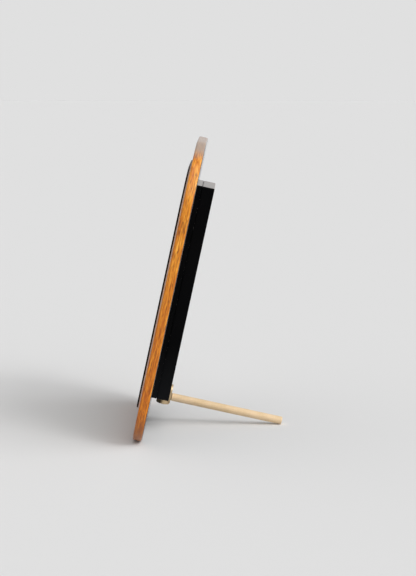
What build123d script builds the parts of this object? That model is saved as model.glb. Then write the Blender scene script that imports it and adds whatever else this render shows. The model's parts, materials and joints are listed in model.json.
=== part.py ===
from build123d import *
import os
from math import cos, pi, radians, sin, tan

# A leaning desk picture frame: a wooden panel with rounded corners, a dark rimmed picture cassette
# held in its front by magnets, a black box spine behind it, and a round brass leg that screws into
# a bracket under the spine. Lengths are in millimetres, angles in degrees.
#
# Every piece is drawn with the panel upright: X across, Y from front to back, Z up from the
# panel's foot. The whole frame is then leaned back and set on the ground.

# Stance
LEAN = 12.25
LEG_HEIGHT = 26.65

# Wooden panel
PANEL_WIDTH = 170.0
PANEL_HEIGHT = 236.0
PANEL_TOP_CORNER = 54.0
PANEL_FOOT_CORNER = 32.0
PANEL_ROUND = 1.5
POCKET_FLOOR = 3.4
POCKET_PLAY = 0.4
POCKET_END_PLAY = 0.5

# Picture cassette: a rimmed frame with the glazing, mat, print and keeper stacked in it
RIM_WIDTH = 136.0
RIM_HEIGHT = 190.0
RIM_FOOT = 25.5
RIM_TOP_CORNER = 37.0
RIM_FOOT_CORNER = 15.0
RIM_THICK = 1.2
RIM_ROUND = 0.35
RIM_SIGHT = 5.5
RIM_OVERLAP = 3.0
SKIRT_WALL = 1.0
STACK_PLAY = 0.2
LINER_THICK = 1.0
LINER_INSET = 0.3
GLAZING_THICK = 2.0
MAT_THICK = 1.4
OVAL_WIDTH = 92.0
OVAL_HEIGHT = 138.0
OVAL_BEVEL = 45.0
PRINT_WIDTH = 102.0
PRINT_HEIGHT = 152.0
PRINT_THICK = 0.25
KEEPER_THICK = 0.5
TAB_THICK = 0.45
TAB_WIDTH = 9.0
TAB_REACH = 6.0
TAB_SPREAD = 90.0

# Magnets in the pocket floor
MAGNET_RADIUS = 4.0
MAGNET_THICK = 3.0
MAGNET_GAP = 0.1
MAGNET_INSET = 14.0

# Spine box. Its foot is set over the leg's axis, so that the hub below it keeps its wall round the stud
SPINE_WIDTH = 53.5
SPINE_HEIGHT = 173.3
SPINE_FOOT = 1.95
SPINE_CORNER = 1.0
SPINE_ROUND = 0.6
BASE_DEPTH = 3.7
SEAM = 0.6
SEAM_INSET = 0.6
COVER_DEPTH = 9.4
BASE_FLOOR = 2.0
SPINE_WALL = 2.2
LIP_WALL = 1.4
LIP_RISE = 2.4
LIP_PLAY = 0.2
BLOCK_WIDTH = 16.0
BLOCK_HEIGHT = 14.0
BLOCK_PLAY = 0.5

# Fasteners
FIT = 0.05
PANEL_SCREW_RADIUS = 1.5
PANEL_SCREW_HEAD = 2.8
PANEL_SCREW_HEAD_DEPTH = 1.6
PANEL_SCREW_SOCKET = 1.15
PANEL_SCREW_SPREAD = 26.0
PANEL_SCREW_INSET = 42.0
INSERT_RADIUS = 2.3
INSERT_LENGTH = 4.0
BOSS_WALL = 1.5
COVER_SCREW_RADIUS = 1.25
COVER_SCREW_HEAD = 2.4
COVER_SCREW_HEAD_DEPTH = 1.3
COVER_SCREW_SOCKET = 0.87
COVER_SCREW_LENGTH = 10.0
COVER_SCREW_INSET = 7.5
BRACKET_SCREW_RADIUS = 1.25
BRACKET_SCREW_HEAD = 2.3
BRACKET_SCREW_HEAD_DEPTH = 1.2
BRACKET_SCREW_SOCKET = 0.87
TAB_SCREW_LENGTH = 6.0
TAB_SCREW_DROP = 3.6
HUB_SCREW_LENGTH = 18.0
HUB_SCREW_INSET = 2.8
SOCKET_DEPTH = 0.8

# Brass bracket and leg
BRACKET_WIDTH = 10.9
HUB_HEIGHT = 8.2
HUB_SETBACK = 0.3
TAB_PLATE = 1.5
TAB_RISE = 8.2
BRACKET_ROUND = 0.5
LEG_RADIUS = 3.175
LEG_ROUND = 0.5
WASHER_THICK = 0.5
WASHER_PLAY = 0.05
WASHER_RADIUS = 2.9
STUD_RADIUS = 1.42
STUD_PITCH = 0.635
STUD_IN_BRACKET = 6.0
STUD_IN_LEG = 7.0
STUD_RUN = 0.08
STUD_END_PLAY = 0.4

# Depths from the panel's front face, positive towards the back
rim_back = -LINER_THICK
rim_front = rim_back - RIM_THICK
glazing_back = rim_back + GLAZING_THICK
mat_back = glazing_back + MAT_THICK
print_back = mat_back + PRINT_THICK
keeper_back = print_back + KEEPER_THICK
skirt_back = keeper_back + TAB_THICK
pocket_back = skirt_back + POCKET_END_PLAY
panel_back = pocket_back + POCKET_FLOOR
base_floor_back = panel_back + BASE_FLOOR
base_back = panel_back + BASE_DEPTH
cover_front = base_back + SEAM
cover_back = cover_front + COVER_DEPTH
bracket_back = cover_back + TAB_PLATE
washer_back = bracket_back + WASHER_THICK
leg_front = washer_back + WASHER_PLAY

# Heights and half sizes
rim_middle = RIM_FOOT + RIM_HEIGHT / 2
spine_foot = LEG_HEIGHT + SPINE_FOOT
spine_middle = spine_foot + SPINE_HEIGHT / 2
spine_top = spine_foot + SPINE_HEIGHT
bracket_foot = spine_foot - HUB_HEIGHT
bracket_top = spine_foot + TAB_RISE
tab_foot = LEG_HEIGHT - BRACKET_WIDTH / 2
hub_middle = bracket_back - HUB_SETBACK - BRACKET_WIDTH / 2
hub_front = hub_middle - BRACKET_WIDTH / 2
hub_screw_y = hub_front + HUB_SCREW_INSET
tab_screw_z = bracket_top - TAB_SCREW_DROP
stack_inset = RIM_OVERLAP + SKIRT_WALL + STACK_PLAY
stack_width = RIM_WIDTH - 2 * stack_inset
stack_height = RIM_HEIGHT - 2 * stack_inset

# The foot's rear arris and the leg's tip touch the ground together, which sets the leg's length
lean = radians(LEAN)
lift = (panel_back - PANEL_ROUND) * sin(lean) - PANEL_ROUND * cos(lean) + PANEL_ROUND
tip_height = (LEG_HEIGHT - LEG_RADIUS + LEG_ROUND) * cos(lean) - LEG_ROUND + lift
leg_back = tip_height / sin(lean) + LEG_ROUND


def slab(sketch, front, back):
    """A sketch in X and Z, made solid from depth front to depth back."""
    plane = Plane(origin=(0, back, 0), x_dir=(1, 0, 0), z_dir=(0, -1, 0))
    return extrude(plane * sketch, back - front)


def rounded(width, height, top_corner, foot_corner, middle):
    """A rectangle about the centre line, at a height, with its upper and lower corners rounded."""
    outline = Rectangle(width, height)
    outline = fillet(outline.vertices().sort_by(Axis.Y)[2:], top_corner)
    outline = fillet(outline.vertices().sort_by(Axis.Y)[:2], foot_corner)
    return Pos(0, middle) * outline


def rim_outline(inset):
    """The rim's outline, drawn in by a distance all round."""
    return rounded(
        RIM_WIDTH - 2 * inset,
        RIM_HEIGHT - 2 * inset,
        RIM_TOP_CORNER - inset,
        RIM_FOOT_CORNER - inset,
        rim_middle,
    )


def spine_block(front, back):
    """The spine's outline, made solid between two depths."""
    outline = rounded(SPINE_WIDTH, SPINE_HEIGHT, SPINE_CORNER, SPINE_CORNER, spine_middle)
    return slab(outline, front, back)


def rod(x, z, radius, front, back):
    """A round bar from front to back."""
    return slab(Pos(x, z) * Circle(radius), front, back)


def grid(spread, low, high):
    """Four places, two a side, at two heights."""
    return [(x, z) for x in (-spread / 2, spread / 2) for z in (low, high)]


def countersink(plane, head, shank, depth):
    """The cone that a flat screw head fills, from its wide end on the plane."""
    return plane * Cone(head, shank, depth, align=(Align.CENTER, Align.CENTER, Align.MIN))


def flat_screw(plane, radius, head, head_depth, socket_radius, length):
    """A flat-head screw with a hexagon socket, running along the plane's normal from its head."""
    shank = plane * Cylinder(radius, length, align=(Align.CENTER, Align.CENTER, Align.MIN))
    socket = extrude(plane * RegularPolygon(socket_radius, 6), SOCKET_DEPTH)
    return shank + countersink(plane, head, radius, head_depth) - socket


def screw_hole(plane, radius, head, head_depth, length):
    """The hole for a flat-head screw, larger by the fit all round."""
    hole = plane * Cylinder(radius + FIT, length, align=(Align.CENTER, Align.CENTER, Align.MIN))
    return hole + countersink(plane, head + FIT, radius + FIT, head_depth)


def into_back(x, front, z):
    """A plane at a depth, facing the back."""
    return Plane(origin=(x, front, z), x_dir=(1, 0, 0), z_dir=(0, 1, 0))


panel_screw_places = grid(PANEL_SCREW_SPREAD, spine_foot + PANEL_SCREW_INSET, spine_top - PANEL_SCREW_INSET)
cover_screw_places = grid(
    SPINE_WIDTH - 2 * COVER_SCREW_INSET, spine_foot + COVER_SCREW_INSET, spine_top - COVER_SCREW_INSET
)
magnet_places = grid(
    stack_width - 2 * MAGNET_INSET,
    rim_middle - stack_height / 2 + MAGNET_INSET,
    rim_middle + stack_height / 2 - MAGNET_INSET,
)
magnet_front = keeper_back + MAGNET_GAP
magnet_back = magnet_front + MAGNET_THICK
insert_back = panel_back + INSERT_LENGTH
panel_screw_length = insert_back - pocket_back
boss_radius = INSERT_RADIUS + BOSS_WALL
cover_boss_radius = COVER_SCREW_RADIUS + FIT + BOSS_WALL
tab_screw_plane = Plane(origin=(0, bracket_back, tab_screw_z), x_dir=(1, 0, 0), z_dir=(0, -1, 0))
hub_screw_plane = Plane(origin=(0, hub_screw_y, bracket_foot), x_dir=(1, 0, 0), z_dir=(0, 0, 1))


def panel_screw_cut(x, z):
    """The countersunk hole for one panel screw."""
    plane = into_back(x, pocket_back, z)
    return screw_hole(plane, PANEL_SCREW_RADIUS, PANEL_SCREW_HEAD, PANEL_SCREW_HEAD_DEPTH, panel_screw_length)


def cover_screw_cut(x, z):
    """The countersunk hole for one cover screw."""
    plane = into_back(x, panel_back, z)
    return screw_hole(plane, COVER_SCREW_RADIUS, COVER_SCREW_HEAD, COVER_SCREW_HEAD_DEPTH, COVER_SCREW_LENGTH)


def bracket_screw_cut(plane, length):
    """The countersunk hole for one bracket screw."""
    return screw_hole(plane, BRACKET_SCREW_RADIUS, BRACKET_SCREW_HEAD, BRACKET_SCREW_HEAD_DEPTH, length)


def make_wood_panel():
    """The wooden panel, with its pocket in front and its holes for magnets and screws."""
    outline = rounded(PANEL_WIDTH, PANEL_HEIGHT, PANEL_TOP_CORNER, PANEL_FOOT_CORNER, PANEL_HEIGHT / 2)
    body = slab(outline, 0, panel_back)
    faces = body.faces().sort_by(Axis.Y)
    body = fillet(faces[0].edges() + faces[-1].edges(), PANEL_ROUND)
    body -= slab(rim_outline(RIM_OVERLAP - POCKET_PLAY), 0, pocket_back)
    for x, z in magnet_places:
        body -= rod(x, z, MAGNET_RADIUS + FIT, pocket_back, magnet_back)
    for x, z in panel_screw_places:
        body -= panel_screw_cut(x, z)
    return body


def make_panel_magnets():
    """Four disc magnets set in the pocket floor."""
    return [rod(x, z, MAGNET_RADIUS, magnet_front, magnet_back) for x, z in magnet_places]


def make_panel_screws():
    """Four screws from the pocket floor into the spine."""
    return [
        flat_screw(
            into_back(x, pocket_back, z),
            PANEL_SCREW_RADIUS,
            PANEL_SCREW_HEAD,
            PANEL_SCREW_HEAD_DEPTH,
            PANEL_SCREW_SOCKET,
            panel_screw_length,
        )
        for x, z in panel_screw_places
    ]


def make_cassette_rim():
    """The dark rim: a thin front flange, and a skirt that drops into the pocket."""
    flange = slab(rim_outline(0), rim_front, rim_back)
    front = flange.faces().sort_by(Axis.Y)[0]
    flange = fillet(front.edges(), RIM_ROUND)
    flange -= slab(rim_outline(RIM_SIGHT), rim_front, rim_back)
    ring = rim_outline(RIM_OVERLAP) - rim_outline(RIM_OVERLAP + SKIRT_WALL)
    return flange + slab(ring, rim_back, skirt_back)


def make_rim_liner():
    """A pale felt ring between the rim's flange and the wood."""
    return slab(rim_outline(LINER_INSET) - rim_outline(RIM_OVERLAP - FIT), rim_back, 0)


def stack_sheet(front, back):
    """A sheet that fills the rim, between two depths."""
    return slab(rim_outline(stack_inset), front, back)


def make_oval_mat():
    """The mat board with its oval window, cut on the bevel so that it widens to the front."""
    flare = MAT_THICK * tan(radians(OVAL_BEVEL))
    back = into_back(0, mat_back, rim_middle) * Ellipse(OVAL_WIDTH / 2, OVAL_HEIGHT / 2)
    front = into_back(0, glazing_back, rim_middle) * Ellipse(OVAL_WIDTH / 2 + flare, OVAL_HEIGHT / 2 + flare)
    return stack_sheet(glazing_back, mat_back) - loft([front, back], ruled=True)


def make_picture_print():
    """The paper print behind the mat."""
    return slab(Pos(0, rim_middle) * Rectangle(PRINT_WIDTH, PRINT_HEIGHT), mat_back, print_back)


def make_keeper_tabs():
    """Six spring tabs that hold the keeper plate in the rim."""
    half_width = stack_width / 2 + STACK_PLAY
    half_height = stack_height / 2 + STACK_PLAY
    side = Rectangle(TAB_REACH, TAB_WIDTH)
    end = Rectangle(TAB_WIDTH, TAB_REACH)
    places = [
        Pos(sign * (half_width - TAB_REACH / 2), rim_middle + rise) * side
        for sign in (-1, 1)
        for rise in (-TAB_SPREAD / 2, TAB_SPREAD / 2)
    ]
    places += [Pos(0, rim_middle + sign * (half_height - TAB_REACH / 2)) * end for sign in (-1, 1)]
    return [slab(place, keeper_back, skirt_back) for place in places]


def make_spine_base():
    """The spine's base: a shallow tray, a set-back step that seats the cover, and a lip that locates it."""
    tray = spine_block(panel_back, base_back)
    step_inset = 2 * SEAM_INSET
    step = Pos(0, spine_middle) * Rectangle(SPINE_WIDTH - step_inset, SPINE_HEIGHT - step_inset)
    lip_inset = 2 * (SPINE_WALL + LIP_PLAY)
    lip = Pos(0, spine_middle) * Rectangle(SPINE_WIDTH - lip_inset, SPINE_HEIGHT - lip_inset)
    room_inset = lip_inset + 2 * LIP_WALL
    room = Pos(0, spine_middle) * Rectangle(SPINE_WIDTH - room_inset, SPINE_HEIGHT - room_inset)
    body = tray + slab(step, base_back, cover_front) + slab(lip, cover_front, base_back + LIP_RISE)
    body -= slab(room, base_floor_back, base_back + LIP_RISE)
    notch = Pos(0, spine_foot) * Rectangle(BLOCK_WIDTH + 2 * BLOCK_PLAY, 2 * BLOCK_HEIGHT)
    body -= slab(notch, cover_front, base_back + LIP_RISE)
    for x, z in panel_screw_places:
        body += rod(x, z, boss_radius, panel_back, insert_back)
        body -= rod(x, z, INSERT_RADIUS + FIT, panel_back, insert_back)
    for x, z in cover_screw_places:
        body -= cover_screw_cut(x, z)
    return body


def make_spine_inserts():
    """Four threaded brass inserts in the base's bosses."""
    return [
        rod(x, z, INSERT_RADIUS, panel_back, insert_back)
        - rod(x, z, PANEL_SCREW_RADIUS + FIT, panel_back, insert_back)
        for x, z in panel_screw_places
    ]


def make_spine_cover():
    """The spine's cover: a shell with screw bosses, and a solid block behind the bracket."""
    body = spine_block(cover_front, cover_back)
    body = fillet(body.faces().sort_by(Axis.Y)[-1].edges(), SPINE_ROUND)
    room = Pos(0, spine_middle) * Rectangle(SPINE_WIDTH - 2 * SPINE_WALL, SPINE_HEIGHT - 2 * SPINE_WALL)
    room_back = cover_back - SPINE_WALL
    body -= slab(room, cover_front, room_back)
    block = Pos(0, spine_foot + BLOCK_HEIGHT / 2 + SPINE_WALL) * Rectangle(BLOCK_WIDTH, BLOCK_HEIGHT)
    body += slab(block, cover_front, room_back)
    for x, z in cover_screw_places:
        body += rod(x, z, cover_boss_radius, base_floor_back, room_back)
        body -= cover_screw_cut(x, z)
    body -= bracket_screw_cut(tab_screw_plane, TAB_SCREW_LENGTH)
    body -= bracket_screw_cut(hub_screw_plane, HUB_SCREW_LENGTH)
    return body


def make_cover_screws():
    """Four screws that hold the cover to the base."""
    return [
        flat_screw(
            into_back(x, panel_back, z),
            COVER_SCREW_RADIUS,
            COVER_SCREW_HEAD,
            COVER_SCREW_HEAD_DEPTH,
            COVER_SCREW_SOCKET,
            COVER_SCREW_LENGTH,
        )
        for x, z in cover_screw_places
    ]


def make_stand_bracket():
    """The brass bracket: a round hub under the spine, and a round-ended tab up its back."""
    hub = extrude(Plane.XY.offset(bracket_foot) * Pos(0, hub_middle) * Circle(BRACKET_WIDTH / 2), HUB_HEIGHT)
    hub = fillet(hub.faces().sort_by(Axis.Z)[0].edges(), BRACKET_ROUND)
    tab_middle = (tab_foot + bracket_top) / 2
    strip = Pos(0, tab_middle) * SlotOverall(bracket_top - tab_foot, BRACKET_WIDTH, rotation=90)
    tab = slab(strip, cover_back, bracket_back)
    tab = fillet(tab.faces().sort_by(Axis.Y)[-1].edges(), BRACKET_ROUND)
    body = hub + tab
    stud_room = bracket_back - STUD_IN_BRACKET - STUD_END_PLAY
    body -= rod(0, LEG_HEIGHT, STUD_RADIUS + STUD_RUN, stud_room, bracket_back)
    body -= bracket_screw_cut(tab_screw_plane, TAB_SCREW_LENGTH)
    body -= bracket_screw_cut(hub_screw_plane, HUB_SCREW_LENGTH)
    return body


def bracket_screw(plane, length):
    """One of the bracket's two flat screws."""
    return flat_screw(
        plane,
        BRACKET_SCREW_RADIUS,
        BRACKET_SCREW_HEAD,
        BRACKET_SCREW_HEAD_DEPTH,
        BRACKET_SCREW_SOCKET,
        length,
    )


def make_leg_washer():
    """A thin dark washer between the bracket and the leg."""
    ring = Circle(WASHER_RADIUS) - Circle(STUD_RADIUS + STUD_RUN)
    return slab(Pos(0, LEG_HEIGHT) * ring, bracket_back, washer_back)


def make_leg_rod():
    """The round brass leg, tapped for its stud, with a rounded tip."""
    body = rod(0, LEG_HEIGHT, LEG_RADIUS, leg_front, leg_back)
    body = fillet(body.faces().sort_by(Axis.Y)[-1].edges(), LEG_ROUND)
    return body - rod(0, LEG_HEIGHT, STUD_RADIUS + FIT, leg_front, leg_front + STUD_IN_LEG)


def make_leg_stud():
    """The stud, fixed in the leg, that screws into the bracket."""
    return rod(0, LEG_HEIGHT, STUD_RADIUS, bracket_back - STUD_IN_BRACKET, leg_front + STUD_IN_LEG)


pieces = {
    "wood_panel": make_wood_panel(),
    "panel_magnets": make_panel_magnets(),
    "panel_screws": make_panel_screws(),
    "cassette_rim": make_cassette_rim(),
    "rim_liner": make_rim_liner(),
    "glazing": stack_sheet(rim_back, glazing_back),
    "oval_mat": make_oval_mat(),
    "picture_print": make_picture_print(),
    "keeper_plate": stack_sheet(print_back, keeper_back),
    "keeper_tabs": make_keeper_tabs(),
    "spine_base": make_spine_base(),
    "spine_inserts": make_spine_inserts(),
    "spine_cover": make_spine_cover(),
    "cover_screws": make_cover_screws(),
    "stand_bracket": make_stand_bracket(),
    "bracket_tab_screw": bracket_screw(tab_screw_plane, TAB_SCREW_LENGTH),
    "bracket_hub_screw": bracket_screw(hub_screw_plane, HUB_SCREW_LENGTH),
    "leg_washer": make_leg_washer(),
    "leg_rod": make_leg_rod(),
    "leg_stud": make_leg_stud(),
}

# Lean the frame back, stand it on the ground and centre it over the origin
leaning = {
    name: Pos(0, 0, lift) * Rot(-LEAN, 0, 0) * (Compound(piece) if isinstance(piece, list) else piece)
    for name, piece in pieces.items()
}
reach = Compound(list(leaning.values())).bounding_box()
centring = Pos(0, -reach.center().Y, 0)

os.makedirs("parts", exist_ok=True)
for name, piece in leaning.items():
    export_step(centring * piece, f"parts/{name}.step")


def standing(depth, height):
    """Where a point of the upright panel's centre plane ends up, in metres."""
    point = centring * Pos(0, 0, lift) * Rot(-LEAN, 0, 0) * Pos(0, depth, height)
    return [round(value / 1000, 6) for value in point.position]


print("leg axis from", standing(leg_front, LEG_HEIGHT), "to", standing(leg_back, LEG_HEIGHT))
print("back direction", [0, round(cos(lean), 6), round(-sin(lean), 6)])
print("foot face centre", standing(panel_back / 2, 0))
print("panel thickness", round(panel_back, 3), "leg length", round(leg_back - leg_front, 3))
print("thread advance, metres per radian", round(STUD_PITCH / 1000 / (2 * pi), 9))
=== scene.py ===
import json
import math

import bpy
from mathutils import Matrix, Vector


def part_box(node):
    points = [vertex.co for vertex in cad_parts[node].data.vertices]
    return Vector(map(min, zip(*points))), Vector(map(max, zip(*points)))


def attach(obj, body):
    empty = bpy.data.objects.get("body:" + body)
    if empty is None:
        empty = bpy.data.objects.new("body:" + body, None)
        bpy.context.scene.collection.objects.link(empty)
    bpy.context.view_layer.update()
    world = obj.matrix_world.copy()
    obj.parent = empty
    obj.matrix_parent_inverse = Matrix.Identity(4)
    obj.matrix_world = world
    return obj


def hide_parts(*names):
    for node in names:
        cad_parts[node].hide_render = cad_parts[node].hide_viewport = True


# Finishes, a glazing sheet, a threaded stud, a plain pale floor, soft light and a camera for the leaning
# picture frame.
# Lengths are in metres unless a name ends in _MM.

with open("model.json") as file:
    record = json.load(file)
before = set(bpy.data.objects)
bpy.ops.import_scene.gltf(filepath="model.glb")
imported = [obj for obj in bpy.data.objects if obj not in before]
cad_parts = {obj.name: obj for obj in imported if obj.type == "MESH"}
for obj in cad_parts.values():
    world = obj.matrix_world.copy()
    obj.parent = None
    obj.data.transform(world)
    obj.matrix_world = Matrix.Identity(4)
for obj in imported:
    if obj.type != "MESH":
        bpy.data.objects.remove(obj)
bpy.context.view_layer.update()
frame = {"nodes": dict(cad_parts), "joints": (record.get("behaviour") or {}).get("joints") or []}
cad = frame["nodes"]
joints = {joint["name"]: joint for joint in frame["joints"]}

# The leg stands square to the panel, so its axis gives the lean and the panel's own directions
leg_axis = Vector(joints["leg_turn"]["axis"]).normalized()
leg_foot = Vector(joints["leg_turn"]["pos_m"])
lean = math.atan2(-leg_axis.z, leg_axis.y)
panel_up = Vector((0, math.sin(lean), math.cos(lean)))
to_front = -leg_axis

across = Vector((1, 0, 0))

MM = 1000.0

# Camera, fitted to the photograph's edges
PHOTO_HEIGHT_PX = 576
FOCAL_PX = 1524.3
CAMERA_PLACE = Vector((1.210, 0.02129, 0.30088))
CAMERA_PITCH = math.radians(8.870)
CAMERA_YAW = math.radians(-1.080)
SENSOR_HEIGHT_MM = 36.0

# Light
BACKGROUND = "#e0e0e0"
SKY_STRENGTH = 0.44
KEY_FROM = Vector((0.72, 0.98, 1.0))
SOFT_SHARE = 0.42
SOFT_WIDTH = math.radians(80)
CORE_SHARE = 0.14
CORE_WIDTH = math.radians(20)
FLOOR_HALF = 8.0
FLOOR_CELLS = 8

# Depth of the spine's tray, up to its seam, and how far past it the joint with the cover starts
TRAY_MM = 3.7
SEAM_CLEAR_MM = 0.01

# The glazing's back stands this far off the mat in the render, so that two faces don't share a plane
GLAZING_GAP_MM = 0.08
GLAZING_EASE_MM = 0.2
GLAZING_EASE_STEPS = 2
GLAZING_CORNER_STEPS = 14

# Stud thread
THREAD_PITCH_MM = 0.635
THREAD_DEPTH_MM = 0.34
THREAD_CREST_SHARE = 0.12
THREAD_STEPS = 40

# Points nearer than this are level, and edges flatter than this are shaded smooth
LEVEL = 1e-5
SMOOTH_ANGLE = math.radians(35)


def panel_reach(name, direction):
    """How far a node reaches along a direction: its least and its greatest."""
    reach = [vertex.co.dot(direction) for vertex in cad[name].data.vertices]
    return min(reach), max(reach)


def deselect():
    """Nothing selected, and nothing in edit mode."""
    if bpy.context.object and bpy.context.object.mode != "OBJECT":
        bpy.ops.object.mode_set(mode="OBJECT")
    bpy.ops.object.select_all(action="DESELECT")


def linear(code):
    """The linear colour of an sRGB hex code."""
    channels = [int(code[i : i + 2], 16) / 255 for i in (1, 3, 5)]
    bent = [c / 12.92 if c <= 0.04045 else ((c + 0.055) / 1.055) ** 2.4 for c in channels]
    return (*bent, 1.0)


def node(tree, kind, inputs=None, stops=None, **settings):
    """Adds a shader node, with its settings, its linked or fixed inputs, and a ramp's stops."""
    made = tree.nodes.new("ShaderNode" + kind)
    for name, value in settings.items():
        setattr(made, name, value)
    for name, value in (inputs or {}).items():
        socket = made.inputs[name]
        if isinstance(value, bpy.types.NodeSocket):
            tree.links.new(value, socket)
        else:
            socket.default_value = value
    if stops:
        elements = made.color_ramp.elements
        while len(elements) < len(stops):
            elements.new(0.5)
        for element, (place, code) in zip(elements, stops):
            element.position = place
            element.color = linear(code)
    return made


def start_material(name):
    """A new node material, with its tree and the place where its surface plugs in."""
    material = bpy.data.materials.new(name)
    material.use_nodes = True
    tree = material.node_tree
    tree.nodes.clear()
    output = node(tree, "OutputMaterial")
    return material, tree, output.inputs["Surface"]


def panel_coordinates(tree, centre=Vector((0, 0, 0))):
    """Millimetres across, back and up along the leaning panel, from a centre."""
    place = node(tree, "TexCoord").outputs["Object"]
    shift = Matrix.Rotation(lean, 3, "X") @ (centre * MM)
    turned = {"Vector": place, "Location": -shift, "Rotation": (lean, 0, 0), "Scale": (MM, MM, MM)}
    return node(tree, "Mapping", turned).outputs["Vector"]


def stretched(tree, vector, across_mm, back_mm, up_mm):
    """Coordinates in which one unit is a pattern's size in each direction."""
    scale = (1 / across_mm, 1 / back_mm, 1 / up_mm)
    return node(tree, "Mapping", {"Vector": vector, "Scale": scale}).outputs["Vector"]


def blend(tree, kind, amount, first, second):
    """Two colours mixed by a blend mode."""
    inputs = {0: amount, 6: first, 7: second}
    return node(tree, "Mix", inputs, data_type="RGBA", blend_type=kind).outputs[2]


def dress(material, *names):
    """Gives CAD nodes a material."""
    for name in names:
        slots = cad[name].data.materials
        slots.clear()
        slots.append(material)


# Finishes

panel_rear = panel_reach("wood_panel", leg_axis)[1] * MM
spine_foot = panel_reach("spine_base", panel_up)[0] * MM


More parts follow.
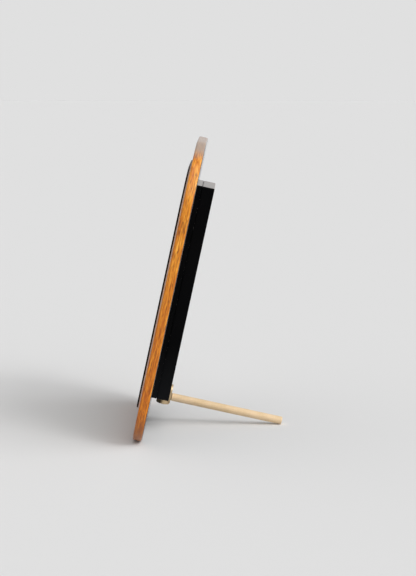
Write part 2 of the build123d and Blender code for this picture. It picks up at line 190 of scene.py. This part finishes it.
def lacquered_teak():
    """Laminated teak under lacquer: rings and fibres on its face, layers round its edge, a black back,
    painted shade low down and on the underside of the edge, and a painted grey reflection on the top edge.
    """
    RING_MM = 5.5
    PITH_MM = (22.0, -62.0, 0.0)
    LOG_TILT = math.radians(5.0)
    WANDER_MM = 45.0
    WANDER_LENGTH_MM = 160.0
    WANDER_SHIFT_MM = 14.0
    FIBRE_MM = 0.75
    FIBRE_LENGTH_MM = 14.0
    PORE_MM = 0.6
    PORE_LENGTH_MM = 5.0
    STREAK_MM = 3.0
    STREAK_LENGTH_MM = 120.0
    FOOT_SHADE_MM = 130.0
    PAINT_START_MM = 0.42
    PAINT_FULL_MM = 0.32
    material, tree, surface = start_material("lacquered_teak")
    place = panel_coordinates(tree)
    # On the edge the streaks are glued layers, which run on round the corners
    shape = node(tree, "NewGeometry")
    flat = shape.outputs["True Normal"]
    facing = node(tree, "VectorMath", {0: flat, 1: leg_axis}, operation="DOT_PRODUCT")
    square = node(tree, "Math", {0: facing.outputs["Value"]}, operation="ABSOLUTE")
    side = node(tree, "MapRange", {"Value": square.outputs["Value"], "From Min": 0.97, "From Max": 0.86})
    squeeze = node(
        tree,
        "MapRange",
        {"Value": side.outputs["Result"], "To Min": 1.0, "To Max": FIBRE_MM / FIBRE_LENGTH_MM},
    )
    layering = node(tree, "CombineXYZ", {"X": squeeze.outputs["Result"], "Y": 1.0, "Z": 1.0})
    layered = node(tree, "VectorMath", {0: place, 1: layering.outputs["Vector"]}, operation="MULTIPLY")
    grain = layered.outputs["Vector"]
    wander = node(
        tree,
        "TexNoise",
        {
            "Vector": stretched(tree, place, WANDER_MM, WANDER_MM, WANDER_LENGTH_MM),
            "Scale": 1.0,
            "Detail": 2.0,
        },
    )
    drift = node(
        tree,
        "VectorMath",
        {0: wander.outputs["Color"], 1: (0.5, 0.5, 0.5)},
        operation="SUBTRACT",
    )
    moved = node(
        tree,
        "VectorMath",
        {0: drift.outputs["Vector"], 1: (WANDER_SHIFT_MM, WANDER_SHIFT_MM, 0.0), 2: place},
        operation="MULTIPLY_ADD",
    )
    log = {
        "Vector": moved.outputs["Vector"],
        "Location": PITH_MM,
        "Rotation": (LOG_TILT, 0, 0),
    }
    rings = node(
        tree,
        "TexWave",
        {
            "Vector": node(tree, "Mapping", log).outputs["Vector"],
            "Scale": 2 * math.pi / (20 * RING_MM),
            "Distortion": 1.2,
            "Detail": 2.0,
            "Detail Scale": 0.6,
        },
        wave_type="RINGS",
        rings_direction="Z",
        wave_profile="SAW",
    )
    fibres = node(
        tree,
        "TexNoise",
        {
            "Vector": stretched(tree, grain, FIBRE_MM, FIBRE_MM, FIBRE_LENGTH_MM),
            "Scale": 1.0,
            "Detail": 4.0,
            "Roughness": 0.75,
        },
    )
    streaks = node(
        tree,
        "TexNoise",
        {
            "Vector": stretched(tree, grain, STREAK_MM, STREAK_MM, STREAK_LENGTH_MM),
            "Scale": 1.0,
            "Detail": 2.0,
        },
    )
    tone = node(
        tree,
        "Math",
        {0: rings.outputs["Fac"], 1: 0.1, 2: fibres.outputs["Fac"]},
        operation="MULTIPLY_ADD",
    )
    tone = node(
        tree,
        "Math",
        {0: streaks.outputs["Fac"], 1: 0.3, 2: tone.outputs["Value"]},
        operation="MULTIPLY_ADD",
    )
    axes = node(tree, "SeparateXYZ", {"Vector": place})
    foot_shade_tone = node(
        # Painted shade: the wood's tone is darker towards the foot of the panel
        tree,
        "MapRange",
        {"Value": axes.outputs["Z"], "From Max": FOOT_SHADE_MM, "To Min": -0.07, "To Max": 0.03},
    )
    tone = node(tree, "Math", {0: tone.outputs["Value"], 1: foot_shade_tone.outputs["Result"]}, operation="ADD")
    colour = node(
        tree,
        "ValToRGB",
        {"Fac": tone.outputs["Value"]},
        stops=[(0.46, "#8f3f00"), (0.62, "#bd6604"), (0.76, "#d68312"), (0.90, "#f2aa3a")],
    )
    pores = node(
        tree,
        "TexNoise",
        {"Vector": stretched(tree, grain, PORE_MM, PORE_MM, PORE_LENGTH_MM), "Scale": 1.0, "Detail": 1.0},
    )
    dark = node(
        tree,
        "MapRange",
        {"Value": pores.outputs["Fac"], "From Min": 0.56, "From Max": 0.68, "To Max": 0.75},
    )
    stained = blend(tree, "MIX", dark.outputs["Result"], colour.outputs["Color"], linear("#753709"))
    back = node(
        tree,
        "MapRange",
        {
            "Value": axes.outputs["Y"],
            "From Min": panel_rear - PAINT_START_MM,
            "From Max": panel_rear - PAINT_FULL_MM,
        },
    )
    # The edge gets painted light, told by how far it looks up or down: painted shade where it looks down,
    # and a pale grey painted reflection, with a rougher finish, where it looks up
    depth = node(tree, "VectorMath", {0: shape.outputs["Normal"], 1: leg_axis}, operation="PROJECT")
    level = node(
        tree,
        "VectorMath",
        {0: shape.outputs["Normal"], 1: depth.outputs["Vector"]},
        operation="SUBTRACT",
    )
    edge = node(tree, "VectorMath", {0: level.outputs["Vector"]}, operation="NORMALIZE")
    rise = node(tree, "VectorMath", {0: edge.outputs["Vector"], 1: panel_up}, operation="DOT_PRODUCT")
    down_facing_shade = node(
        tree,
        "MapRange",
        {"Value": rise.outputs["Value"], "From Min": -0.1, "From Max": -0.7, "To Max": 0.8},
    )
    up_facing_sheen = node(
        tree,
        "MapRange",
        {"Value": rise.outputs["Value"], "From Min": 0.77, "From Max": 0.91, "To Max": 0.85},
    )
    foot = node(tree, "Math", {0: down_facing_shade.outputs["Result"], 1: side.outputs["Result"]}, operation="MULTIPLY")
    painted_sheen_crown = node(tree, "Math", {0: up_facing_sheen.outputs["Result"], 1: side.outputs["Result"]}, operation="MULTIPLY")
    # Painted shade: the edge is mixed to a darker brown where it looks down
    finished = blend(tree, "MIX", foot.outputs["Value"], stained, linear("#965b2c"))
    # Painted reflection: the upward-facing edge is mixed to a pale grey
    finished = blend(tree, "MIX", painted_sheen_crown.outputs["Value"], finished, linear("#9a8f85"))
    finished = blend(tree, "MIX", back.outputs["Result"], finished, linear("#0b0b0c"))
    gloss = node(tree, "MapRange", {"Value": fibres.outputs["Fac"], "To Min": 0.42, "To Max": 0.30})
    gloss = node(
        tree,
        "MapRange",
        {"Value": painted_sheen_crown.outputs["Value"], "To Min": gloss.outputs["Result"], "To Max": 0.75},
    )
    gloss = node(
        tree,
        "MapRange",
        {"Value": back.outputs["Result"], "To Min": gloss.outputs["Result"], "To Max": 0.18},
    )
    relief = node(
        tree,
        "Bump",
        {"Height": pores.outputs["Fac"], "Strength": 0.08, "Distance": 0.0002},
        invert=True,
    )
    wood = node(
        tree,
        "BsdfPrincipled",
        {
            "Base Color": finished,
            "Roughness": gloss.outputs["Result"],
            "IOR": 1.5,
            "Specular IOR Level": 0.2,
            "Coat Weight": 0.5,
            "Coat Roughness": 0.08,
            "Normal": relief.outputs["Normal"],
        },
    )
    tree.links.new(wood.outputs["BSDF"], surface)
    return material


def powder_coat():
    """Black powder-coated steel: a satin skin with a fine orange-peel ripple."""
    RIPPLE_MM = 0.6
    material, tree, surface = start_material("black_powder_coat")
    place = panel_coordinates(tree)
    ripple = node(
        tree,
        "TexNoise",
        {"Vector": stretched(tree, place, RIPPLE_MM, RIPPLE_MM, RIPPLE_MM), "Scale": 1.0, "Detail": 2.0},
    )
    colour = node(
        tree,
        "ValToRGB",
        {"Fac": ripple.outputs["Fac"]},
        stops=[(0.3, "#0e0a08"), (0.7, "#1a130f")],
    )
    relief = node(tree, "Bump", {"Height": ripple.outputs["Fac"], "Strength": 0.12, "Distance": 0.0001})
    coat = node(
        tree,
        "BsdfPrincipled",
        {
            "Base Color": colour.outputs["Color"],
            "Roughness": 0.36,
            "IOR": 1.5,
            "Specular IOR Level": 0.06,
            "Normal": relief.outputs["Normal"],
        },
    )
    tree.links.new(coat.outputs["BSDF"], surface)
    return material


def moulded_abs(name, seam_mm=None):
    """Moulded ABS with a soft-touch skin: black face on, pale at a glance, with a painted reflection of the
    floor near its foot.
    """
    GRAIN_MM = 0.45
    CLOUD_MM = 40.0
    FLOOR_REFLECTION_MM = 45.0
    SEAM_BLEND_MM = 0.02
    material, tree, surface = start_material(name)
    place = panel_coordinates(tree)
    grain = node(
        tree,
        "TexNoise",
        {"Vector": stretched(tree, place, GRAIN_MM, GRAIN_MM, GRAIN_MM), "Scale": 1.0, "Detail": 2.0},
    )
    clouds = node(
        tree,
        "TexNoise",
        {"Vector": stretched(tree, place, CLOUD_MM, CLOUD_MM, CLOUD_MM), "Scale": 1.0, "Detail": 3.0},
    )
    colour = node(
        tree,
        "ValToRGB",
        {"Fac": clouds.outputs["Fac"]},
        stops=[(0.3, "#010102"), (0.7, "#040405")],
    )
    axes = node(tree, "SeparateXYZ", {"Vector": place})
    # Painted reflection: the plastic is a lighter grey towards its foot, where the pale floor reflects
    floor_reflection = node(
        tree,
        "MapRange",
        {
            "Value": axes.outputs["Z"],
            "From Min": spine_foot,
            "From Max": spine_foot + FLOOR_REFLECTION_MM,
            "To Min": 1.0,
            "To Max": 0.0,
        },
    )
    with_floor_reflection = blend(tree, "MIX", floor_reflection.outputs["Result"], colour.outputs["Color"], linear("#131416"))
    gloss = node(tree, "MapRange", {"Value": clouds.outputs["Fac"], "To Min": 0.16, "To Max": 0.24})
    relief = node(tree, "Bump", {"Height": grain.outputs["Fac"], "Strength": 0.08, "Distance": 0.0001})
    plastic = node(
        tree,
        "BsdfPrincipled",
        {
            "Base Color": with_floor_reflection,
            "Roughness": gloss.outputs["Result"],
            "IOR": 1.53,
            "Specular IOR Level": 0.02,
            "Coat Weight": 1.0,
            "Coat Roughness": 0.1,
            "Coat IOR": 1.08,
            "Sheen Weight": 1.0,
            "Sheen Roughness": 0.2,
            "Sheen Tint": linear("#fff2ea"),
            "Normal": relief.outputs["Normal"],
        },
    )
    # Past the seam, inside the joint, the plastic is bare and rough
    if seam_mm:
        past = {"Value": axes.outputs["Y"], "From Min": seam_mm, "From Max": seam_mm + SEAM_BLEND_MM}
        bare = node(tree, "MapRange", {**past, "To Min": gloss.outputs["Result"], "To Max": 1.0})
        skin = node(tree, "MapRange", {**past, "To Min": 1.0, "To Max": 0.0})
        tree.links.new(bare.outputs["Result"], plastic.inputs["Roughness"])
        tree.links.new(skin.outputs["Result"], plastic.inputs["Coat Weight"])
    tree.links.new(plastic.outputs["BSDF"], surface)
    return material


def turned_brass(name, dark, pale, smooth, rough):
    """Lathe-turned brass: fine rings across the leg, drawn coarser than real so that they show."""
    LINE_MM = 0.5
    LINE_LENGTH_MM = 30.0
    TARNISH_MM = 9.0
    TARNISH_LENGTH_MM = 14.0
    material, tree, surface = start_material(name)
    place = panel_coordinates(tree)
    lines = node(
        tree,
        "TexNoise",
        {
            "Vector": stretched(tree, place, LINE_LENGTH_MM, LINE_MM, LINE_LENGTH_MM),
            "Scale": 1.0,
            "Detail": 3.0,
        },
    )
    tarnish = node(
        tree,
        "TexNoise",
        {
            "Vector": stretched(tree, place, TARNISH_MM, TARNISH_LENGTH_MM, TARNISH_MM),
            "Scale": 1.0,
            "Detail": 3.0,
        },
    )
    colour = node(
        tree,
        "ValToRGB",
        {"Fac": tarnish.outputs["Fac"]},
        stops=[(0.3, dark), (0.7, pale)],
    )
    gloss = node(tree, "MapRange", {"Value": lines.outputs["Fac"], "To Min": smooth, "To Max": rough})
    relief = node(tree, "Bump", {"Height": lines.outputs["Fac"], "Strength": 0.06, "Distance": 0.0001})
    brass = node(
        tree,
        "BsdfPrincipled",
        {
            "Base Color": colour.outputs["Color"],
            "Metallic": 1.0,
            "Roughness": gloss.outputs["Result"],
            "Normal": relief.outputs["Normal"],
        },
    )
    tree.links.new(brass.outputs["BSDF"], surface)
    return material


def plated_steel():
    """Zinc-plated steel: pale grey metal with faint rolling lines."""
    LINE_MM = 0.8
    LINE_LENGTH_MM = 40.0
    material, tree, surface = start_material("plated_steel")
    place = panel_coordinates(tree)
    lines = node(
        tree,
        "TexNoise",
        {"Vector": stretched(tree, place, LINE_MM, LINE_MM, LINE_LENGTH_MM), "Scale": 1.0, "Detail": 3.0},
    )
    colour = node(
        tree,
        "ValToRGB",
        {"Fac": lines.outputs["Fac"]},
        stops=[(0.3, "#b4b7ba"), (0.7, "#cfd1d2")],
    )
    gloss = node(tree, "MapRange", {"Value": lines.outputs["Fac"], "To Min": 0.26, "To Max": 0.42})
    steel = node(
        tree,
        "BsdfPrincipled",
        {"Base Color": colour.outputs["Color"], "Metallic": 1.0, "Roughness": gloss.outputs["Result"]},
    )
    tree.links.new(steel.outputs["BSDF"], surface)
    return material


def wool_felt():
    """Pressed wool felt: pale, matt and slightly hairy."""
    HAIR_MM = 0.5
    HAIR_LENGTH_MM = 2.0
    material, tree, surface = start_material("wool_felt")
    place = panel_coordinates(tree)
    hair = node(
        tree,
        "TexNoise",
        {"Vector": stretched(tree, place, HAIR_MM, HAIR_MM, HAIR_LENGTH_MM), "Scale": 1.0, "Detail": 4.0},
    )
    colour = node(
        tree,
        "ValToRGB",
        {"Fac": hair.outputs["Fac"]},
        stops=[(0.3, "#e2cdbf"), (0.7, "#f6e8dd")],
    )
    relief = node(tree, "Bump", {"Height": hair.outputs["Fac"], "Strength": 0.4, "Distance": 0.0002})
    felt = node(
        tree,
        "BsdfPrincipled",
        {
            "Base Color": colour.outputs["Color"],
            "Roughness": 0.95,
            "Sheen Weight": 0.3,
            "Normal": relief.outputs["Normal"],
        },
    )
    tree.links.new(felt.outputs["BSDF"], surface)
    return material


def fibre_washer():
    """Dark vulcanised fibre: matt, with faint cloudy mottling."""
    MOTTLE_MM = 1.2
    material, tree, surface = start_material("vulcanised_fibre")
    place = panel_coordinates(tree)
    mottle = node(
        tree,
        "TexNoise",
        {"Vector": stretched(tree, place, MOTTLE_MM, MOTTLE_MM, MOTTLE_MM), "Scale": 1.0, "Detail": 3.0},
    )
    colour = node(
        tree,
        "ValToRGB",
        {"Fac": mottle.outputs["Fac"]},
        stops=[(0.3, "#241b15"), (0.7, "#3b2d24")],
    )
    fibre = node(tree, "BsdfPrincipled", {"Base Color": colour.outputs["Color"], "Roughness": 0.8})
    tree.links.new(fibre.outputs["BSDF"], surface)
    return material


def clear_acrylic():
    """Polished clear acrylic sheet: clear face on, a mirror at a grazing angle, with faint wiping marks."""
    WIPE_MM = 9.0
    WIPE_LENGTH_MM = 36.0
    ACRYLIC_IOR = 1.49
    AIR_IOR = 1.0
    material, tree, surface = start_material("clear_acrylic")
    place = panel_coordinates(tree)
    wiped = node(
        tree,
        "TexNoise",
        {"Vector": stretched(tree, place, WIPE_LENGTH_MM, WIPE_MM, WIPE_MM), "Scale": 1.0, "Detail": 4.0},
    )
    gloss = node(tree, "MapRange", {"Value": wiped.outputs["Fac"], "To Min": 0.02, "To Max": 0.07})
    # Only the outer faces mirror, because the inner ones would hide the picture at a slant
    inside = node(tree, "NewGeometry").outputs["Backfacing"]
    bend = node(tree, "MapRange", {"Value": inside, "To Min": ACRYLIC_IOR, "To Max": AIR_IOR})
    fresnel = node(tree, "Fresnel", {"IOR": bend.outputs["Result"]})
    sheet = node(
        tree,
        "BsdfPrincipled",
        {
            "Base Color": linear("#f4f8f7"),
            "Metallic": 1.0,
            "Roughness": gloss.outputs["Result"],
            "Alpha": fresnel.outputs["Fac"],
        },
    )
    tree.links.new(sheet.outputs["BSDF"], surface)
    return material


def mat_board():
    """Museum mat board: a warm off-white face with a paper tooth, and a whiter core on its cut bevel."""
    TOOTH_MM = 0.7
    material, tree, surface = start_material("mat_board")
    place = panel_coordinates(tree)
    tooth = node(
        tree,
        "TexNoise",
        {"Vector": stretched(tree, place, TOOTH_MM, TOOTH_MM, TOOTH_MM), "Scale": 1.0, "Detail": 4.0},
    )
    face = node(
        tree,
        "ValToRGB",
        {"Fac": tooth.outputs["Fac"]},
        stops=[(0.3, "#e4dccb"), (0.7, "#ece5d6")],
    )
    normal = node(tree, "NewGeometry").outputs["True Normal"]
    facing = node(tree, "VectorMath", {0: normal, 1: to_front}, operation="DOT_PRODUCT")
    flat = node(tree, "MapRange", {"Value": facing.outputs["Value"], "From Min": 0.85, "From Max": 0.95})
    colour = blend(tree, "MIX", flat.outputs["Result"], linear("#f8f6f0"), face.outputs["Color"])
    relief = node(
        tree,
        "Bump",
        {"Height": tooth.outputs["Fac"], "Strength": 0.25, "Distance": 0.0001, "Normal": normal},
    )
    board = node(
        tree,
        "BsdfPrincipled",
        {"Base Color": colour, "Roughness": 0.9, "Normal": relief.outputs["Normal"]},
    )
    tree.links.new(board.outputs["BSDF"], surface)
    return material


def landscape_print(centre):
    """An inkjet print on matt paper: a plain made-up view of misty hills under an evening sky."""
    SKY = [(0.0, "#e9c9a4"), (0.45, "#d9c7b4"), (1.0, "#8fa9b5")]
    SKY_LOW_MM = -10.0
    SKY_HIGH_MM = 70.0
    SUN_PLACE_MM = (16.0, 0.0, 24.0)
    SUN_RADIUS_MM = 7.5
    SUN_EDGE_MM = 0.3
    RIDGE_EDGE_MM = 0.2
    MIST_MM = 26.0
    # Each ridge: mean height, swing and wavelength in millimetres, a seed, and its colour
    RIDGES = [
        (12.0, 16.0, 34.0, 3.1, "#a9b3ad"),
        (-2.0, 18.0, 42.0, 7.7, "#869a92"),
        (-18.0, 20.0, 50.0, 12.4, "#647f73"),
        (-36.0, 20.0, 62.0, 21.9, "#456353"),
        (-56.0, 18.0, 80.0, 33.5, "#2c4537"),
    ]
    material, tree, surface = start_material("landscape_print")
    place = panel_coordinates(tree, centre)
    axes = node(tree, "SeparateXYZ", {"Vector": place})
    up = axes.outputs["Z"]
    rise = node(tree, "MapRange", {"Value": up, "From Min": SKY_LOW_MM, "From Max": SKY_HIGH_MM})
    picture = node(tree, "ValToRGB", {"Fac": rise.outputs["Result"]}, stops=SKY).outputs["Color"]
    flat = node(tree, "VectorMath", {0: place, 1: (1, 0, 1)}, operation="MULTIPLY")
    gap = node(tree, "VectorMath", {0: flat.outputs["Vector"], 1: SUN_PLACE_MM}, operation="DISTANCE")
    disc = node(
        tree,
        "MapRange",
        {
            "Value": gap.outputs["Value"],
            "From Min": SUN_RADIUS_MM + SUN_EDGE_MM,
            "From Max": SUN_RADIUS_MM - SUN_EDGE_MM,
        },
    )
    picture = blend(tree, "MIX", disc.outputs["Result"], picture, linear("#f7e6c4"))
    for height, swing, wave, seed, code in RIDGES:
        along = node(
            tree,
            "Math",
            {0: axes.outputs["X"], 1: 1 / wave, 2: seed},
            operation="MULTIPLY_ADD",
        )
        bumps = node(
            tree,
            "TexNoise",
            {"W": along.outputs["Value"], "Scale": 1.0, "Detail": 4.0, "Roughness": 0.42},
            noise_dimensions="1D",
        )
        line = node(
            tree,
            "Math",
            {0: bumps.outputs["Fac"], 1: 2 * swing, 2: height - swing},
            operation="MULTIPLY_ADD",
        )
        under = node(tree, "Math", {0: line.outputs["Value"], 1: up}, operation="SUBTRACT")
        edge = node(
            tree,
            "MapRange",
            {"Value": under.outputs["Value"], "From Min": -RIDGE_EDGE_MM, "From Max": RIDGE_EDGE_MM},
        )
        mist = node(
            tree,
            "MapRange",
            {"Value": under.outputs["Value"], "From Max": MIST_MM, "To Max": 0.38},
        )
        hill = blend(tree, "MIX", mist.outputs["Result"], linear(code), linear("#cfcfc0"))
        picture = blend(tree, "MIX", edge.outputs["Result"], picture, hill)
    paper = node(tree, "BsdfPrincipled", {"Base Color": picture, "Roughness": 0.75})
    tree.links.new(paper.outputs["BSDF"], surface)
    return material


def studio_floor():
    """A plain pale painted floor, with a faint roller stipple."""
    STIPPLE_MM = 3.0
    material, tree, surface = start_material("studio_floor")
    place = panel_coordinates(tree)
    stipple = node(
        tree,
        "TexNoise",
        {"Vector": stretched(tree, place, STIPPLE_MM, STIPPLE_MM, STIPPLE_MM), "Scale": 1.0},
    )
    relief = node(tree, "Bump", {"Height": stipple.outputs["Fac"], "Strength": 0.02, "Distance": 0.0001})
    paint = node(
        tree,
        "BsdfDiffuse",
        {"Color": linear(BACKGROUND), "Normal": relief.outputs["Normal"]},
    )
    tree.links.new(paint.outputs["BSDF"], surface)
    return material


# The glazing and the threaded stud


def select_end(piece, turn):
    """Selects, for edit mode, the points at the head of a flat mesh, or with -1 at its foot."""
    bpy.ops.object.mode_set(mode="EDIT")
    bpy.ops.mesh.select_mode(type="VERT")
    bpy.ops.mesh.select_all(action="DESELECT")
    bpy.ops.object.mode_set(mode="OBJECT")
    end = max(vertex.co.y * turn for vertex in piece.data.vertices)
    for vertex in piece.data.vertices:
        vertex.select = end - vertex.co.y * turn < LEVEL
    bpy.ops.object.mode_set(mode="EDIT")


def corner_radius(name, end):
    """The corner radius of a flat node at its end: what the straight run there leaves of the width."""
    reach = panel_reach(name, end)[1]
    run = [vertex.co.x for vertex in cad[name].data.vertices if reach - vertex.co.dot(end) < LEVEL]
    return panel_reach(name, across)[1] - max(run)


def model_glazing():
    """The acrylic sheet: a rectangle with rounded corners, drawn out to its thickness, its edges eased."""
    side = panel_reach("glazing", across)[1]
    foot, head = panel_reach("glazing", panel_up)
    front, back = panel_reach("glazing", leg_axis)
    back -= GLAZING_GAP_MM / MM
    deselect()
    bpy.ops.mesh.primitive_plane_add(size=2, location=(0, 0, 0))
    sheet = bpy.context.object
    sheet.name = "acrylic_sheet"
    sheet.scale = (side, (head - foot) / 2, 1)
    bpy.ops.object.transform_apply(scale=True)
    for end, turn in ((panel_up, 1), (-panel_up, -1)):
        select_end(sheet, turn)
        radius = corner_radius("glazing", end)
        bpy.ops.mesh.bevel(offset=radius, segments=GLAZING_CORNER_STEPS, affect="VERTICES")
    bpy.ops.mesh.select_all(action="SELECT")
    bpy.ops.mesh.extrude_region_move(TRANSFORM_OT_translate={"value": (0, 0, back - front)})
    bpy.ops.mesh.select_all(action="SELECT")
    bpy.ops.mesh.normals_make_consistent(inside=False)
    bpy.ops.object.mode_set(mode="OBJECT")
    ease = sheet.modifiers.new("ease", "BEVEL")
    ease.width = GLAZING_EASE_MM / MM
    ease.segments = GLAZING_EASE_STEPS
    ease.limit_method = "ANGLE"
    bpy.ops.object.modifier_apply(modifier=ease.name)
    laid = Matrix((across, panel_up, to_front)).transposed().to_4x4()
    sheet.data.transform(Matrix.Translation(panel_up * (foot + head) / 2 + leg_axis * back) @ laid)
    bpy.ops.object.shade_smooth_by_angle(angle=SMOOTH_ANGLE)
    return sheet


def axis_reach(name):
    """How far a node reaches along the leg's axis from the leg's foot, and its radius."""
    points = [vertex.co - leg_foot for vertex in cad[name].data.vertices]
    along = [point.dot(leg_axis) for point in points]
    radii = [(point - leg_axis * step).length for point, step in zip(points, along)]
    return min(along), max(along), max(radii)


def model_stud():
    """A stud with a real helical thread: one flank drawn point by point, screwed round and capped."""
    start, end, radius = axis_reach("leg_stud")
    pitch = THREAD_PITCH_MM / MM
    depth = THREAD_DEPTH_MM / MM
    crest = pitch * THREAD_CREST_SHARE
    flank = (pitch - crest) / 2
    turns = int((end - start) / pitch) - 1
    deselect()
    bpy.ops.mesh.primitive_plane_add(size=pitch, location=(0, 0, 0))
    stud = bpy.context.object
    stud.name = "threaded_stud"
    bpy.ops.object.mode_set(mode="EDIT")
    bpy.ops.mesh.merge(type="CENTER")
    bpy.ops.transform.translate(value=(radius - depth, 0, 0))
    for step in ((depth, 0, flank), (0, 0, crest), (-depth, 0, flank)):
        bpy.ops.mesh.extrude_vertices_move(TRANSFORM_OT_translate={"value": step})
    bpy.ops.object.mode_set(mode="OBJECT")
    screw = stud.modifiers.new("thread", "SCREW")
    screw.axis = "Z"
    screw.angle = 2 * math.pi
    screw.screw_offset = pitch
    screw.iterations = turns
    screw.steps = THREAD_STEPS
    screw.render_steps = THREAD_STEPS
    bpy.ops.object.modifier_apply(modifier=screw.name)
    bpy.ops.object.mode_set(mode="EDIT")
    bpy.ops.mesh.select_all(action="SELECT")
    bpy.ops.mesh.remove_doubles(threshold=pitch / 100)
    bpy.ops.mesh.select_all(action="DESELECT")
    bpy.ops.mesh.select_non_manifold()
    bpy.ops.mesh.edge_face_add()
    bpy.ops.mesh.select_all(action="SELECT")
    bpy.ops.mesh.normals_make_consistent(inside=False)
    bpy.ops.object.mode_set(mode="OBJECT")
    spare = (end - start) - (turns + 1) * pitch
    place = Matrix.Translation(leg_foot + leg_axis * (start + spare / 2))
    stud.data.transform(place @ leg_axis.to_track_quat("Z", "Y").to_matrix().to_4x4())
    bpy.ops.object.shade_smooth_by_angle(angle=SMOOTH_ANGLE)
    return stud


# The stage


def lay_floor():
    """The floor, at the height that the frame stands on."""
    deselect()
    bpy.ops.mesh.primitive_grid_add(
        x_subdivisions=FLOOR_CELLS,
        y_subdivisions=FLOOR_CELLS,
        size=2 * FLOOR_HALF,
    )
    floor = bpy.context.object
    floor.name = "studio_floor"
    floor.data.materials.append(studio_floor())


def light_sky():
    """Even light from all round, which the camera, metal and glass see as the plain background."""
    world = bpy.data.worlds.new("studio")
    bpy.context.scene.world = world
    world.use_nodes = True
    tree = world.node_tree
    tree.nodes.clear()
    path = node(tree, "LightPath")
    shiny = node(
        tree,
        "Math",
        {0: path.outputs["Is Glossy Ray"], 1: path.outputs["Is Transmission Ray"]},
        operation="ADD",
    )
    seen = node(
        tree,
        "Math",
        {0: path.outputs["Is Camera Ray"], 1: shiny.outputs["Value"]},
        operation="ADD",
        use_clamp=True,
    )
    glow = node(tree, "Background", {"Color": linear("#ffffff"), "Strength": SKY_STRENGTH})
    backdrop = node(tree, "Background", {"Color": linear(BACKGROUND), "Strength": 1.0})
    choice = node(
        tree,
        "MixShader",
        {0: seen.outputs["Value"], 1: glow.outputs["Background"], 2: backdrop.outputs["Background"]},
    )
    node(tree, "OutputWorld", {"Surface": choice.outputs["Shader"]})


def hang_light(name, share, width):
    """A lamp from the right and a little from the camera's side, as wide as it looks from the frame."""
    deselect()
    bpy.ops.object.light_add(type="SUN", location=KEY_FROM)
    lamp = bpy.context.object
    lamp.name = name
    lamp.rotation_euler = KEY_FROM.to_track_quat("Z", "Y").to_euler()
    lamp.data.angle = width
    lamp.data.energy = share * math.pi * KEY_FROM.length / KEY_FROM.z


def set_camera():
    """The camera at the photograph's place, looking across the frame's side."""
    look = Vector(
        (
            -math.cos(CAMERA_PITCH) * math.cos(CAMERA_YAW),
            math.cos(CAMERA_PITCH) * math.sin(CAMERA_YAW),
            -math.sin(CAMERA_PITCH),
        )
    )
    deselect()
    bpy.ops.object.camera_add(location=CAMERA_PLACE)
    camera = bpy.context.object
    camera.rotation_euler = look.to_track_quat("-Z", "Y").to_euler()
    camera.data.sensor_fit = "VERTICAL"
    camera.data.sensor_height = SENSOR_HEIGHT_MM
    camera.data.lens = FOCAL_PX * SENSOR_HEIGHT_MM / PHOTO_HEIGHT_PX
    bpy.context.scene.camera = camera


# Put it together

satin_brass = turned_brass("satin_brass", "#dfccac", "#e9d8be", 0.8, 0.95)
bright_brass = turned_brass("bright_brass", "#c1a880", "#ceb795", 0.3, 0.42)
steel = plated_steel()
acrylic = clear_acrylic()
print_low, print_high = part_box("picture_print")

dress(lacquered_teak(), "wood_panel")
dress(powder_coat(), "cassette_rim")
dress(wool_felt(), "rim_liner")
dress(acrylic, "glazing")
dress(mat_board(), "oval_mat")
dress(landscape_print((print_low + print_high) / 2), "picture_print")
dress(steel, "keeper_plate", "keeper_tabs", "panel_magnets", "panel_screws", "cover_screws", "leg_stud")
dress(moulded_abs("black_abs_tray", panel_rear + TRAY_MM + SEAM_CLEAR_MM), "spine_base")
dress(moulded_abs("black_abs_cover"), "spine_cover")
dress(satin_brass, "leg_rod", "spine_inserts")
dress(bright_brass, "stand_bracket", "bracket_tab_screw", "bracket_hub_screw")
dress(fibre_washer(), "leg_washer")

sheet = model_glazing()
sheet.data.materials.append(acrylic)
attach(sheet, "cassette")
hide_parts("glazing")

stud = model_stud()
stud.data.materials.append(steel)
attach(stud, "leg")
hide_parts("leg_stud")

lay_floor()
light_sky()
hang_light("soft_box", SOFT_SHARE, SOFT_WIDTH)
hang_light("soft_box_core", CORE_SHARE, CORE_WIDTH)
set_camera()
bpy.context.scene.view_settings.view_transform = "Standard"
